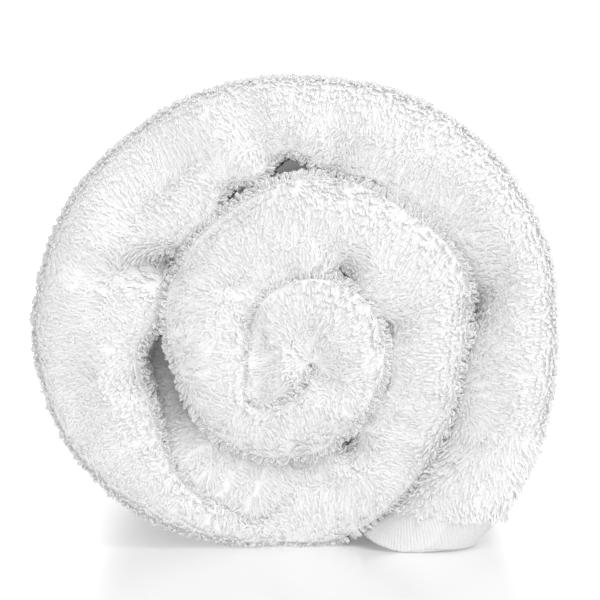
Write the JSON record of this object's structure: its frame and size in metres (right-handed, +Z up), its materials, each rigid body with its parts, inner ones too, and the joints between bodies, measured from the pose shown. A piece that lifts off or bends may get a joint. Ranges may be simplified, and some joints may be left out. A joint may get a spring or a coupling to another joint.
{
  "type": "rolled bath towel",
  "caption": "Thick white terry bath towel, folded into a soft band and rolled up, lying on its side with a spiral of plump fold lips at its end and the loose end down on its hem.",
  "frame": {"origin": "Centre of the bounding box's bottom face, on the surface that the roll lies on.", "axes": "+Y runs along the roll, and the pictured end with the hem in front faces -Y. +Z is up. +X is to the right as seen from that end."},
  "size_m": [0.1668, 0.343, 0.1488],
  "materials": {
    "white_terry": "soft looped cotton pile, matte"
  },
  "bodies": {
    "root": {"towel_roll": "white_terry"}
  },
  "joints": []
}
